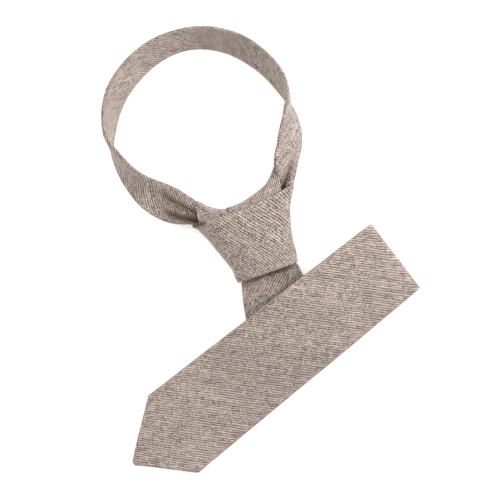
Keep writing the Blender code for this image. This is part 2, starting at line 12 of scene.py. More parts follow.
import bpy
import numpy as np
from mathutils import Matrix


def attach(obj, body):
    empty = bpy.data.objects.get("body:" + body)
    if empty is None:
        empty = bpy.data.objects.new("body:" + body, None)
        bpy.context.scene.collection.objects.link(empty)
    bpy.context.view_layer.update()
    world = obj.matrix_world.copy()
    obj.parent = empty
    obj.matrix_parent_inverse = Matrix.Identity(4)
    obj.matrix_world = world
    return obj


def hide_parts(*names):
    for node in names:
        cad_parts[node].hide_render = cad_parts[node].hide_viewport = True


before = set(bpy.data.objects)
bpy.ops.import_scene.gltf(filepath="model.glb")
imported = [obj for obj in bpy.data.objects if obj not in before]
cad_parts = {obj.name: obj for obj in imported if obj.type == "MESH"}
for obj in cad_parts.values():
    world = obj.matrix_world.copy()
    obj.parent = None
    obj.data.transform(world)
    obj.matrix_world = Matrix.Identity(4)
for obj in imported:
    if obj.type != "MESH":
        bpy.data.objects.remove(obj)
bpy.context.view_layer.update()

# %% [markdown]
# Every length is in metres. The drawing's zero is the middle of the neck loop, because the loop and
# the knot are both measured from there. The frame's zero is under the middle of the whole tie, so a
# single step takes each finished point from one to the other.

# %% Sizes
LOOP_MIDDLE = np.array([-0.046984, 0.085791, 0.0])

BLADE_WIDTH = 0.064
BLADE_TAPER = 0.0375
BLADE_THICKNESS = 0.0030
POINT_LENGTH = 0.0345
TAIL_WIDTH = 0.034
TAIL_LENGTH = 0.072
TAIL_POINT = 0.017
TAIL_THICKNESS = 0.0026
BAND_WIDTH = 0.025
BAND_THICKNESS = 0.0032
KNOT_CLOTH = 0.0024
CLEARANCE = 0.0003

LOOP_RADIUS = 0.0605
KNOT_WIDTH = 0.0768
KNOT_HEIGHT = 0.055
KNOT_DEPTH = 0.0215
KNOT_TURN = 24.8
KNOT_SHIFT = 0.0042
HALF_KNOT = KNOT_WIDTH / 2

# %% [markdown]
# Cloth turns slowly, so its shapes come from a few rows of numbers and smooth curves between them.
# The three helpers below are all that the tables need: a heading in plan, a smooth step, and a curve
# that passes through every row of a table.

# %% Small helpers
def rotation(degrees):
    """Unit vector along a heading, and the one a quarter turn to its left."""
    a = math.radians(degrees)
    return np.array([math.cos(a), math.sin(a)]), np.array([-math.sin(a), math.cos(a)])


def smooth(x):
    """Smooth step: three x squared less two x cubed, between 0 and 1."""
    x = np.clip(x, 0.0, 1.0)
    return x * x * (3.0 - 2.0 * x)


def falling(distance, length):
    """1 up to distance 0, then smoothly down to 0 over the length."""
    return 1.0 - smooth(distance / length)


def bump(x, middle, reach):
    """A soft hill of height 1: e to the power of minus the squared distance over the reach."""
    return np.exp(-(((x - middle) / reach) ** 2))


def unit(vectors):
    """Vectors divided by their lengths."""
    return vectors / np.maximum(np.linalg.norm(vectors, axis=-1, keepdims=True), 1e-12)


def spline(table, positions):
    """Catmull-Rom curve: each stretch is the cubic that leaves a row parallel to its two neighbours."""
    ends = np.vstack([2 * table[0] - table[1], table, 2 * table[-1] - table[-2]])
    start = np.clip(np.floor(positions).astype(int), 0, len(table) - 2)
    t = (positions - start)[:, None]
    a, b, c, d = (ends[start + i] for i in range(4))
    return 0.5 * (2 * b + (c - a) * t + (2 * a - 5 * b + 4 * c - d) * t**2 + (3 * b - a - 3 * c + d) * t**3)


# %% [markdown]
# A tie is a flat tube of cloth round a lining, so its edges are soft rolls and not cut ones. Across
# a strip the points sit evenly on the flat stretch and close together round each edge, where the
# thickness dies away as a half circle.

# %% Across a strip
EDGE_ANGLES = np.radians([12, 28, 44, 60, 75])
BORDER = len(EDGE_ANGLES)


def section(width, thickness, count):
    """Offsets across a strip, and the share of its half thickness there: the sine of the edge angle."""
    edge = thickness / 2
    flat = np.asarray(width, dtype=float)[..., None] / 2 - edge
    side = edge * np.cos(EDGE_ANGLES)
    offsets = np.concatenate([-flat - side, flat * np.linspace(-1, 1, count), flat + side[::-1]], axis=-1)
    full = np.sin(EDGE_ANGLES)
    return offsets, np.concatenate([full, np.ones(count), full[::-1]])


def evenly(curves, thickness, count):
    """Points along each curve, spaced as section() spaces a strip of the curve's own length."""
    rows = []
    for curve in curves:
        run = np.concatenate([[0.0], np.cumsum(np.linalg.norm(np.diff(curve, axis=0), axis=1))])
        offsets, full = section(run[-1], thickness, count)
        at = offsets + run[-1] / 2
        rows.append(np.stack([np.interp(at, run, curve[:, k]) for k in range(3)], axis=-1))
    return np.array(rows), full


def grid_normals(grid):
    """Cross product of the steps along and across a grid, with the rolled side edges kept straight."""
    normals = unit(np.cross(np.gradient(grid, axis=0), np.gradient(grid, axis=1)))
    inner = normals[:, BORDER:-BORDER]
    return np.pad(inner, ((0, 0), (BORDER, BORDER), (0, 0)), mode="edge")


def patch_normals(grid):
    """The same for a sheet whose first and last rows are rolled edges too."""
    inner = grid_normals(grid)[BORDER:-BORDER]
    return np.pad(inner, ((BORDER, BORDER), (0, 0), (0, 0)), mode="edge")


def lengths(grid):
    """Distance along the middle column and across the middle row of a grid, from its first point."""
    rows, columns = grid.shape[0] // 2, grid.shape[1] // 2
    down, over = grid[:, columns], grid[rows]
    along = np.cumsum(np.linalg.norm(np.diff(down, axis=0, prepend=down[:1]), axis=1))
    across = np.cumsum(np.linalg.norm(np.diff(over, axis=0, prepend=over[:1]), axis=1))
    return along, across


# %% [markdown]
# A sheet of cloth becomes one closed mesh: a front grid, a back grid, and a row of faces that joins
# them round all four borders. Rows run along the strip and columns across it. Each corner of a face
# also keeps how far it is along and across the cloth, counted on round the side edge to the back.
# The weave is drawn in those two lengths, so it bends round every fold as real yarn does. Each point
# keeps one more number, how far into a crease it lies, and painted shade darkens the colour there.

# %% Cloth mesh
def round_profile(across, half):
    """Length along a profile: the sum of steps, each the root of step squared plus rise squared."""
    step = np.hypot(np.diff(across, axis=1), np.diff(half, axis=1))
    run = np.concatenate([np.zeros((len(half), 1)), np.cumsum(step, axis=1)], axis=1)
    return run - run[:, run.shape[1] // 2, None]


def grid_faces(rows, columns):
    """Corners of the faces of a front grid, of the back grid after it, and of the border between."""
    index = np.arange(rows * columns).reshape(rows, columns)
    a, b, c, d = index[:-1, :-1], index[1:, :-1], index[1:, 1:], index[:-1, 1:]
    upper = np.stack([a, b, c, d], axis=-1).reshape(-1, 4)
    lower = upper[:, ::-1] + rows * columns
    ring = np.concatenate([index[0, :-1], index[:-1, -1], index[-1, :0:-1], index[:0:-1, 0]])
    after = np.roll(ring, -1)
    border = np.stack([ring, after, after + rows * columns, ring + rows * columns], axis=-1)
    return np.concatenate([upper, lower, border])


def cloth(name, middle, normals, front, back, along, across, fold=0.0):
    """Closed sheet: its middle surface plus the front half thickness, and minus the back one.

    The faces are all turned round if they enclose a negative volume, so that they point outwards.
    On the back the length across is twice the edge's own length less the front's. The fold is the
    painted crease shade at each point, from 0 to 1: how far into a crease it lies.
    """
    rows, columns = middle.shape[:2]
    top = middle + normals * front[..., None]
    low = middle - normals * back[..., None]
    points = np.concatenate([top.reshape(-1, 3), low.reshape(-1, 3)]) + LOOP_MIDDLE
    points[:, 2] = np.maximum(points[:, 2], 0.0)
    faces = grid_faces(rows, columns)
    p, q, s, t = (points[faces[:, k]] for k in range(4))
    if np.einsum("ij,ij->", p + q + s + t, np.cross(s - p, t - q)) < 0:
        faces = faces[:, ::-1]
    mesh = bpy.data.meshes.new(name)
    mesh.from_pydata(points, [], faces)

    u = np.broadcast_to(along, front.shape).ravel()
    v = round_profile(np.broadcast_to(across, front.shape), front)
    reach = np.repeat(v[:, -1] + front[:, -1], columns)
    v = v.ravel()
    corner, behind = faces % (rows * columns), faces >= rows * columns
    side = np.sign(v[corner].mean(axis=1, keepdims=True))
    over = np.where(behind, 2 * side * reach[corner] - v[corner], v[corner])
    run = np.stack([u[corner], over], axis=-1)
    layer = mesh.uv_layers.new(name="cloth")
    layer.data.foreach_set("uv", run.astype(np.float32).ravel())
    # the painted crease shade, kept as a point attribute that darkens the colour
    depth = np.broadcast_to(fold, front.shape).ravel()
    painted_shade = mesh.attributes.new("fold", "FLOAT", "POINT")
    painted_shade.data.foreach_set("value", np.concatenate([depth, depth]).astype(np.float32))
    mesh.shade_smooth()
    piece = bpy.data.objects.new(name, mesh)
    bpy.context.scene.collection.objects.link(piece)
    print(name, "faces:", len(faces), "height, mm:", round(points[:, 2].max() * 1000, 1))
    return piece


def crossways(*grids):
    """The same grids with their rows and columns changed over."""
    return [np.swapaxes(grid, 0, 1) for grid in grids]


# painted shade in creases: full at this groove depth, over reaches this many times as wide
FULL_SHADE_DEPTH = 0.0016
PAINTED_SHADE_SPREAD = 1.7
LEAST_HALF = 0.3


def creases(along, across, lines, spread=1.0):
    """Depth of grooves: each has a depth along its line, times a soft hill across the line.

    A line's rows give a place along it, the place across, the depth and the reach to either side.
    The spread makes every reach that many times as wide.
    """
    total = np.zeros(np.broadcast(along, across).shape)
    for line in lines:
        rows = np.array(line)
        place, depth, reach = (np.interp(along, rows[:, 0], rows[:, k]) for k in (1, 2, 3))
        total = total + depth * bump(across, place, reach * spread)
    return total


def painted_crease_shade(along, across, lines):
    """Painted crease shade: the groove depth with wider reaches, over the depth that is shaded in full."""
    return creases(along, across, lines, PAINTED_SHADE_SPREAD) / FULL_SHADE_DEPTH


def sheet_area(piece):
    """Half the surface of a closed sheet, which is the area of its cloth."""
    areas = np.zeros(len(piece.data.polygons))
    piece.data.polygons.foreach_get("area", areas)
    return areas.sum() / 2


# %% [markdown]
# Pressed cloth is never quite flat. A sum of a few long sine waves, each in its own direction, gives
# the faint swell that light picks up. It is under a quarter of a millimetre to either side, and its
# waves have different lengths, so that no repeat shows.

# %% Swell
GOLDEN_ANGLE = 2.399963
WAVE_SHARES = 0.7 + 0.15 * np.arange(5)


def swell(x, y, length, seed):
    """Mean of five sine waves of about the given length, in directions a golden angle apart."""
    turns = seed + GOLDEN_ANGLE * np.arange(len(WAVE_SHARES))
    waves = length * WAVE_SHARES
    phase = (np.multiply.outer(x, np.cos(turns)) + np.multiply.outer(y, np.sin(turns))) / waves
    return np.sin(2 * math.pi * phase + turns**2).sum(axis=-1) / len(WAVE_SHARES)


# %% [markdown]
# The weave. Up close the cloth is a plain weave of dark brown and pale grey-beige yarn, spun thick
# and thin, so from a step away it looks speckled with short streaks. A tie is cut on the bias, so
# the yarns run at 45 degrees to its length. The maths of the pattern is easier to read as ordinary
# sums than as a web of nodes, so one small class turns Python expressions into nodes.

# %% Shader expressions
class Shade:
    """A socket of a material: sums and products of it add their Math nodes."""

    def __init__(self, tree, socket=None):
        self.tree = tree
        self.socket = socket

    def node(self, kind, settings, inputs, output=0):
        """Add a node of a kind, set its settings, then fill its sockets, and give one output."""
        made = self.tree.nodes.new(kind)
        for name, value in settings.items():
            setattr(made, name, value)
        for name, value in inputs.items():
            if isinstance(value, Shade):
                self.tree.links.new(value.socket, made.inputs[name])
            else:
                made.inputs[name].default_value = value
        return Shade(self.tree, made.outputs[output])

    def maths(self, operation, *values):
        return self.node("ShaderNodeMath", {"operation": operation}, dict(enumerate(values)))

    def __add__(self, other):
        return self.maths("ADD", self, other)

    def __sub__(self, other):
        return self.maths("SUBTRACT", self, other)

    def __rsub__(self, other):
        return self.maths("SUBTRACT", other, self)

    def __mul__(self, other):
        return self.maths("MULTIPLY", self, other)

    def __truediv__(self, other):
        return self.maths("DIVIDE", self, other)

    __radd__ = __add__
    __rmul__ = __mul__

    def wave(self):
        """Sine of this socket."""
        return self.maths("SINE", self)

    def clipped(self):
        """This socket kept between 0 and 1."""
        return self.maths("MAXIMUM", self.maths("MINIMUM", self, 1.0), 0.0)


# %% [markdown]
# The pattern is built yarn by yarn. A yarn is a number: the floor of the distance over the pitch.
# Each yarn gets its own run of noise, so it is darker here and paler there, which makes streaks one
# yarn wide, and every second weft line is paler. The sign of two crossing sine waves says which yarn
# is on top, as in a plain weave. A white noise on the pair of yarn numbers gives each crossing its
# own tone. The same waves paint shade into the gaps between yarns and paint their round backs paler,
# finer noise gives the fibres, and wider noise lets the tone drift. In a crease the colour is
# multiplied by a darker and warmer one, a painted shade for the shadow that gathers there.

# %% Melange cloth
PALE_YARN = (0.690, 0.590, 0.540, 1.0)
DARK_YARN = (0.080, 0.053, 0.043, 1.0)
WEFT_PITCH = 0.00081
WARP_PITCH = 0.00102
ROOT_HALF = math.sqrt(0.5)
YARN_STEP = 5.73
WANDER = 0.8
WANDER_SIZE = (9.0, 2.5)
SLUB = 1.6
SLUB_LENGTH = 8.0
CROSS = 0.4
CROSS_LENGTH = 6.0
WEFT_TONE = 0.275
WARP_TONE = 0.72
CHANCE = 0.65
DRIFT = 0.65
DRIFT_SIZE = (60.0, 1.3)
PICK = 0.5
# painted crease shade: its strength and the darker, warmer colour it multiplies by
PAINTED_SHADE_STRENGTH = 0.9
PAINTED_SHADE_TINT = (0.32, 0.25, 0.21, 1.0)
CHANGE_OVER = 4.0
CROWN_POWER = 0.6
CROWN_MEAN = 0.63
GAP_SHADE = 0.5
FIBRE = 0.45
FIBRE_STEPS = (2.0, 6.0, 7.0)
RELIEF_DEPTH = 0.00016
RELIEF_SLUB = 0.5


def noise(start, x, y, z, detail):
    """Soft noise about one half, read at a place in space."""
    place = start.node("ShaderNodeCombineXYZ", {}, {0: x, 1: y, 2: z})
    settings = {"noise_dimensions": "3D"}
    return start.node("ShaderNodeTexNoise", settings, {"Vector": place, "Scale": 1.0, "Detail": detail})


def yarn_tone(start, number, along, length, layer):
    """Noise along one yarn: stretched to a length, and read at a place of its own for each number."""
    return noise(start, along / length, number * YARN_STEP, layer, 1.0)


def cloud(start, along, across, size, layer):
    """Soft noise over many yarns, stretched to a length and a width."""
    return noise(start, along / size[0], across / size[1], layer, 2.0)


def melange(name):
    """Woven melange cloth: at each crossing the upper yarn's tone picks between dark and pale."""
    finish = bpy.data.materials.new(name)
    finish.use_nodes = True
    tree = finish.node_tree
    shader = tree.nodes["Principled BSDF"]
    start = Shade(tree)
    place = start.node("ShaderNodeUVMap", {"uv_map": "cloth"}, {})
    u = start.node("ShaderNodeSeparateXYZ", {}, {0: place}, 0)
    v = start.node("ShaderNodeSeparateXYZ", {}, {0: place}, 1)
    weft = (u - v) * (ROOT_HALF / WARP_PITCH)
    warp = (u + v) * (ROOT_HALF / WEFT_PITCH)
    weft = weft + (cloud(start, weft, warp, WANDER_SIZE, 3.0) - 0.5) * WANDER
    warp = warp + (cloud(start, warp, weft, WANDER_SIZE, 5.0) - 0.5) * WANDER

    weft_number = warp.maths("FLOOR", warp)
    warp_number = weft.maths("FLOOR", weft)
    pair = start.node("ShaderNodeCombineXYZ", {}, {0: weft_number, 1: warp_number, 2: 0.0})
    chance = start.node("ShaderNodeTexWhiteNoise", {"noise_dimensions": "3D"}, {"Vector": pair})
    waves = (weft * math.pi).wave() * (warp * math.pi).wave()
    over = (waves * CHANGE_OVER + 0.5).clipped()
    crown = waves.maths("POWER", waves.maths("ABSOLUTE", waves), CROWN_POWER)
    steps = [socket * step for socket, step in zip((weft, warp, over), FIBRE_STEPS)]
    fibre = noise(start, *steps, 1.0)

    slubs = (yarn_tone(start, weft_number, weft, SLUB_LENGTH, 1.0) - 0.5) * SLUB + WEFT_TONE
    cross = (yarn_tone(start, warp_number, warp, CROSS_LENGTH, 9.0) - 0.5) * CROSS + WARP_TONE
    drift = (cloud(start, weft, warp, DRIFT_SIZE, 19.0) - 0.5) * DRIFT
    pick = (weft_number.maths("FLOORED_MODULO", weft_number, 2.0) - 0.5) * PICK
    tone = slubs * over + cross * (1.0 - over)
    # painted crease shade, read from each point's fold attribute
    painted_shade = start.node("ShaderNodeAttribute", {"attribute_name": "fold"}, {}, 2)
    # painted shade in the gaps between yarns and paler painted light on their round backs, plus fibre noise
    yarn_shade_and_fibres = (crown - CROWN_MEAN) * GAP_SHADE + (fibre - 0.5) * FIBRE
    share = (tone + (chance - 0.5) * CHANCE + drift + pick + yarn_shade_and_fibres).clipped()
    yarn = start.node("ShaderNodeMix", {"data_type": "RGBA"}, {0: share, 6: DARK_YARN, 7: PALE_YARN}, 2)
    # painted shade: in creases the yarn colour is multiplied by the darker tint
    shade = {0: (painted_shade * PAINTED_SHADE_STRENGTH).clipped(), 6: yarn, 7: PAINTED_SHADE_TINT}
    color = start.node("ShaderNodeMix", {"data_type": "RGBA", "blend_type": "MULTIPLY"}, shade, 2)
    raised = {"Strength": 0.9, "Distance": RELIEF_DEPTH, "Height": crown + slubs * RELIEF_SLUB}
    relief = start.node("ShaderNodeBump", {}, raised)
    tree.links.new(color.socket, shader.inputs["Base Color"])
    tree.links.new(relief.socket, shader.inputs["Normal"])
    shader.inputs["Roughness"].default_value = 0.9
    shader.inputs["Specular IOR Level"].default_value = 0.2
    shader.inputs["Sheen Weight"].default_value = 0.25
    shader.inputs["Sheen Roughness"].default_value = 0.5
    print(name, "nodes:", len(tree.nodes))
    return finish


CLOTH = melange("melange cloth")

# %% [markdown]
# Each finished sheet goes through the same four steps: it gets the cloth, it takes the place of its
# plain solid, it rides on the tie's one body, and its flat size and area are printed.

# %% Hand a piece to the frame
def dress(piece, node, flat):
    """Give a cloth piece its finish, hide the solid it replaces, and print how large it lies flat."""
    piece.data.materials.append(CLOTH)
    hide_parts(node)
    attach(piece, "root")
    area = sheet_area(piece)
    full = min(area, flat[0] * flat[1])
    wide, long = (round(side * 1000) for side in flat)
    print(piece.name, "flat, mm:", wide, "x", long, "cm2:", round(area * 1e4, 1))


# %% [markdown]
# The knot is drawn on its own two axes: across it and up it, turned 24.8 degrees from the table's.
# A short table gives its left side, right side and depth at a few heights. The section is a soft
# rectangle, a superellipse of power 2.4, above a widest line that lies low on the sides.

# %% Knot profile
SECTION_POWER = 2.4
KNOT_CURL = 0.0028
FLOOR_GAP = 0.0009
WAIST = 0.37
RIM_SHARE = 0.97
FINE = 400

KNOT_ROWS = np.array([
    # height, left, right, depth
    (-0.03, -0.530, 0.583, 0.72),
    (0.05, -0.552, 0.616, 0.76),
    (0.12, -0.566, 0.641, 0.80),
    (0.25, -0.552, 0.672, 0.87),
    (0.40, -0.600, 0.730, 0.93),
    (0.55, -0.662, 0.815, 0.97),
    (0.72, -0.724, 0.928, 1.00),
    (0.88, -0.806, 1.100, 0.99),
    (0.97, -0.885, 1.155, 0.96),
    (1.25, -0.940, 1.200, 0.86),
])

KNOT_RIGHT, KNOT_UP = rotation(KNOT_TURN)
KNOT_FOOT = KNOT_RIGHT * KNOT_SHIFT - KNOT_UP * (LOOP_RADIUS + KNOT_HEIGHT)
WAIST_HEIGHT = KNOT_DEPTH * WAIST
KNOT_CURVE = spline(KNOT_ROWS, np.linspace(0, len(KNOT_ROWS) - 1, FINE)).T


def on_knot(across, up, height):
    """World points from the knot's own axes."""
    plan = KNOT_FOOT + across[..., None] * KNOT_RIGHT + up[..., None] * KNOT_UP
    return np.concatenate([plan, np.broadcast_to(height, across.shape)[..., None]], axis=-1)


def knot_sides(up):
    """Left and right sides and depth of the knot at a distance up from its foot."""
    share = up / KNOT_HEIGHT
    left, right, depth = (np.interp(share, KNOT_CURVE[0], KNOT_CURVE[k]) for k in (1, 2, 3))
    return left * HALF_KNOT, right * HALF_KNOT, depth * KNOT_DEPTH


def knot_top(across, up):
    """Height of the superellipse over a point, and its slope across the knot."""
    left, right, depth = knot_sides(up)
    half = (right - left) / 2
    share = np.clip((across - (left + right) / 2) / half, -RIM_SHARE, RIM_SHARE)
    power = np.abs(share) ** SECTION_POWER
    rise = (1.0 - power) ** (1 / SECTION_POWER)
    slope = (depth - WAIST_HEIGHT) / half * (1.0 - power) ** (1 / SECTION_POWER - 1) * power
    return WAIST_HEIGHT + (depth - WAIST_HEIGHT) * rise, slope / np.maximum(np.abs(share), 1e-9)


def knot_section(up, turn, inset, floor):
    """Across and height on the section: sine and cosine of the turn, each to the power 2 over 2.4."""
    left, right, depth = knot_sides(up)
    half = (right - left) / 2 - inset
    side = np.sign(turn)
    upper = np.minimum(np.abs(turn), math.pi / 2)
    below = np.maximum(np.abs(turn) - math.pi / 2, 0.0)
    across = side * (half * np.sin(upper) ** (2 / SECTION_POWER) - KNOT_CURL * (1 - np.cos(below)))
    rise = (depth - WAIST_HEIGHT - inset) * np.clip(np.cos(upper), 0, 1) ** (2 / SECTION_POWER)
    height = WAIST_HEIGHT + rise - (WAIST_HEIGHT - floor) * np.sin(below)
    return (left + right) / 2 + across, height


# %% [markdown]
# The knot's face is the last turn of the blade, pulled across the front and tucked up behind. It is
# one sheet that starts under the left side, goes over the front and ends under the right side. Its
# upper edge is a fold, so it is a soft roll, pressed thinner in the middle, and it runs almost
# straight from ear to ear. The cloth is pulled sideways into the knot, so its weave runs askew. The
# shadows under the two ears are shades in the finish, not grooves.

# %% Knot face
FACE_ROWS = 90
FACE_COLUMNS = 150
FACE_FLAT = (0.055, 0.115)
FACE_SWELL = 0.00015
FACE_WAVE = 0.021
FRONT_REACH = 160
EAR_REACH = 90
EAR_START = 0.55
EDGE_THIN = 0.62
THIN_START = 0.84
THIN_RISE = 0.14
THIN_LEFT = 0.3
THIN_RIGHT = 0.62
THIN_FADE = 0.2
KNOT_SKEW = -0.22
FRONT_EDGES = {
    # edge: height in the middle, slope, bow
    "foot": (0.021, -0.038, 0.002),
    "top": (0.888, -0.031, 0.045),
}

# painted shadows along the face's upper edge by both ears: they darken the colour and cut no groove
FACE_PAINTED_SHADOWS = [
    # each row: share across, share up, depth, reach
    [(0.00, 0.985, 0.0010, 0.02), (0.05, 0.985, 0.0022, 0.02),
     (0.13, 0.985, 0.0020, 0.018), (0.20, 0.985, 0.0, 0.015)],
    [(0.80, 0.95, 0.0, 0.02), (0.86, 0.95, 0.0004, 0.02),
     (0.96, 0.95, 0.0005, 0.02), (1.0, 0.95, 0.0, 0.02)],
]


def knot_face():
    """The face as a grid: a share up the knot, and a turn round it from the left side to the right."""
    run, row_full = section(KNOT_HEIGHT, KNOT_CLOTH, FACE_ROWS)
    t = (run / KNOT_HEIGHT + 0.5)[:, None]
    reach = FRONT_REACH + (EAR_REACH - FRONT_REACH) * smooth((t - EAR_START) / (1 - EAR_START))
    turn = np.linspace(-1, 1, FINE) * np.radians(reach)
    share = np.sign(turn) * np.sin(np.minimum(np.abs(turn), math.pi / 2)) ** (2 / SECTION_POWER)
    foot, top = (a + b * share + c * share**2 for a, b, c in FRONT_EDGES.values())
    up = (foot + (top - foot) * t) * KNOT_HEIGHT
    across, height = knot_section(up, turn, 0.0, FLOOR_GAP)
    outer, full = evenly(on_knot(across, up, height), KNOT_CLOTH, FACE_COLUMNS)
    normals = -patch_normals(outer)
    half = row_full[:, None] * full * KNOT_CLOTH / 2
    along, over = lengths(outer)
    dent = FACE_SWELL * swell(over[None, :], along[:, None], FACE_WAVE, 1.0)
    place = (over / over[-1])[None, :]
    inner = smooth((place - THIN_LEFT) / THIN_FADE) * falling(place - THIN_RIGHT, THIN_FADE)
    thin = 1 - EDGE_THIN * smooth((t - THIN_START) / THIN_RISE) * inner
    half = half * thin
    middle = outer - normals * (KNOT_CLOTH - KNOT_CLOTH / 2 * thin - dent)[..., None]
    # painted shadow lines under the upper edge
    fold = painted_crease_shade(place, t, FACE_PAINTED_SHADOWS)
    middle, normals, half, fold = crossways(middle, normals, half, fold)
    askew = over[:, None] + KNOT_SKEW * along[None, :]
    return cloth("knot_face", middle, normals, half, half, askew, along[None, :], fold)


dress(knot_face(), "knot_front", FACE_FLAT)

# %% [markdown]
# Above the face, a turn of cloth goes over each arm of the neck band. Each comes up through the loop,
# rolls over the knot's upper edge and goes down behind the face. A row of the table gives the rim
# and the hidden end, and the sheet is a roll round the rim followed by a slope under the face. The
# dark slits at both ends of the right turn are shades in the finish, not gaps.

# %% Side turns
LEFT_TURN = np.array([
    # run, edge across, edge up, hidden end across, hidden end up
    (0.00, -0.180, 0.968, -0.190, 0.80),
    (0.30, -0.335, 1.034, -0.380, 0.81),
    (0.60, -0.465, 1.110, -0.545, 0.83),
    (0.85, -0.560, 1.195, -0.670, 0.85),
    (1.00, -0.612, 1.225, -0.735, 0.86),
])
RIGHT_TURN = np.array([
    (0.00, -0.195, 0.992, -0.200, 0.79),
    (0.25, 0.095, 0.972, 0.070, 0.78),
    (0.50, 0.430, 1.010, 0.360, 0.78),
    (0.70, 0.650, 1.056, 0.565, 0.78),
    (0.88, 0.815, 1.145, 0.710, 0.79),
    (1.00, 0.925, 1.222, 0.795, 0.80),
])
WRAP_BULGE = 0.0018
WRAP_ROLL = 0.0045
WRAP_UNDER = 70
TURN_POINTS = 60
LEFT_FLAT = (0.021, 0.032)
RIGHT_FLAT = (0.044, 0.032)
# painted shadows: dark slits at both ends of the right turn and a faint line below its rolled edge
RIGHT_TURN_PAINTED_SHADOWS = [
    # each row: length over the roll, share along the rim, depth, reach
    [(0.007, 0.02, 0.0, 0.012), (0.010, 0.02, 0.0020, 0.012),
     (0.017, 0.02, 0.0016, 0.012), (0.020, 0.02, 0.0, 0.012)],
    [(0.004, 0.98, 0.0, 0.02), (0.006, 0.98, 0.0022, 0.022),
     (0.012, 0.975, 0.0024, 0.020), (0.016, 0.97, 0.0, 0.014)],
    [(0.020, 0.95, 0.0, 0.02), (0.024, 0.95, 0.0005, 0.02), (0.036, 0.95, 0.0005, 0.02)],
]


def side_turn(name, table, lines=()):
    """A turn as a grid: its run along the rim, and a quarter roll round the rim, then a slope."""
    run, row_full = section(HALF_KNOT, KNOT_CLOTH, TURN_POINTS)
    t = run / HALF_KNOT + 0.5
    rows = spline(table, np.interp(t, table[:, 0], np.arange(len(table))))
    scale = np.array([HALF_KNOT, KNOT_HEIGHT])
    edge, hidden = rows[:, 1:3] * scale, rows[:, 3:5] * scale
    length = np.linalg.norm(hidden - edge, axis=1)[:, None]
    turn = np.radians(np.linspace(-WRAP_UNDER, 90, FINE // 2))
    rolled = np.where(turn < 0, KNOT_CURL, WRAP_ROLL) * (1 - np.cos(turn))
    flat = WRAP_ROLL + (length - WRAP_ROLL) * np.linspace(0, 1, FINE // 2)[1:]
    inward = np.concatenate([np.broadcast_to(rolled, (len(t), rolled.size)), flat], axis=1)
    share = inward / length
    side = np.sign(table[-1, 1])
    bulge = WRAP_BULGE * 4 * share * (1 - share) * (t**3)[:, None] * side
    point = edge[:, None, :] + (hidden - edge)[:, None, :] * share[..., None]
    across, up = point[..., 0] + bulge, point[..., 1]
    cover, slope = knot_top(across, up)
    cover = cover - (KNOT_CLOTH + 2 * CLEARANCE) * np.sqrt(1 + slope**2) - WAIST_HEIGHT
    lift = np.concatenate([np.maximum(np.sin(turn), 0), np.ones(FINE // 2 - 1)])
    sink = np.concatenate([np.minimum(np.sin(turn), 0), np.zeros(FINE // 2 - 1)])
    height = WAIST_HEIGHT + cover * lift + (WAIST_HEIGHT - FLOOR_GAP) * sink
    outer, full = evenly(on_knot(across, up, height), KNOT_CLOTH, TURN_POINTS)
    normals = -side * patch_normals(outer)
    half = row_full[:, None] * full * KNOT_CLOTH / 2
    along, over = lengths(outer)
    middle = outer - normals * KNOT_CLOTH / 2
    # painted shade from the given lines, colour only
    fold = painted_crease_shade(over[None, :], t[:, None], lines)
    middle, normals, half, fold = crossways(middle, normals, half, fold)
    return cloth(name, middle, normals, half, half, over[:, None], along[None, :], fold)


left_turn = side_turn("left_turn", LEFT_TURN)
dress(left_turn, "knot_left_wrap", LEFT_FLAT)
right_turn = side_turn("right_turn", RIGHT_TURN, RIGHT_TURN_PAINTED_SHADOWS)
dress(right_turn, "knot_right_wrap", RIGHT_FLAT)

# %% [markdown]
# Inside the knot the cloth is folded over and over into a firm pad. Only its lower end and its
# underside can be seen, between the face and the blade. It is a padded form with the same section
# as the face, a cloth's thickness further in, and shallow grooves where its folds lie on each other.

# %% Knot filling
CORE_FOOT = 0.17
CORE_NARROWING = 0.55
CORE_TOP = 0.755
CORE_ROWS = 40
CORE_COLUMNS = 110
CORE_TURN = 179
CORE_EDGE = 0.0004
FOLD_GROOVE = 0.0004
FOLD_PITCH = 0.0032


def knot_filling():
    """The pad: closed sections up the knot, narrowed towards the top and grooved by height."""
    foot, top, waist = CORE_FOOT * KNOT_HEIGHT, CORE_TOP * KNOT_HEIGHT, KNOT_HEIGHT / 2
    up = np.linspace(foot, top, CORE_ROWS)[:, None]
    turn = np.linspace(-1, 1, FINE) * math.radians(CORE_TURN)
    across, height = knot_section(up, turn, KNOT_CLOTH + 2 * CLEARANCE, FLOOR_GAP)
    groove = FOLD_GROOVE * (1 - np.abs(np.sin(math.pi * height / FOLD_PITCH))) ** 4
    left, right, _ = knot_sides(up)
    middle = (left + right) / 2
    narrow = 1.0 - CORE_NARROWING * smooth((up - waist) / (top - waist))
    across = middle + (across - middle) * narrow - np.sign(turn) * groove
    curves = on_knot(across, np.broadcast_to(up, across.shape), height)
    rings, _ = evenly(curves, CORE_EDGE, CORE_COLUMNS)
    rings[:, [0, -1], 2] = 0.0
    count = rings.shape[1] // 2
    outer, under = rings[:, :count], rings[:, :count - 1:-1]
    half = np.linalg.norm(outer - under, axis=-1) / 2
    along, over = lengths(outer)
    middle, normals, half = crossways((outer + under) / 2, unit(outer - under), half)
    return cloth("knot_filling", middle, normals, half, half, over[:, None], along[None, :])


filling = knot_filling()
filling.data.materials.append(CLOTH)
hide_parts("knot_core")
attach(filling, "root")

# %% [markdown]
# The neck band is the narrow middle of the tie, folded to a strip 25 mm wide. It leaves the knot
# at the right ear with its front up, and twists until it stands on its lower edge. From there round
# the back it leans outwards, so its back shows with the lap of the cloth near the lower edge. On
# the left it twists back, lies flat and dished, and goes into the knot in pleats. A table gives its
# place, lean and width at some forty stations, and a smooth curve runs through them.

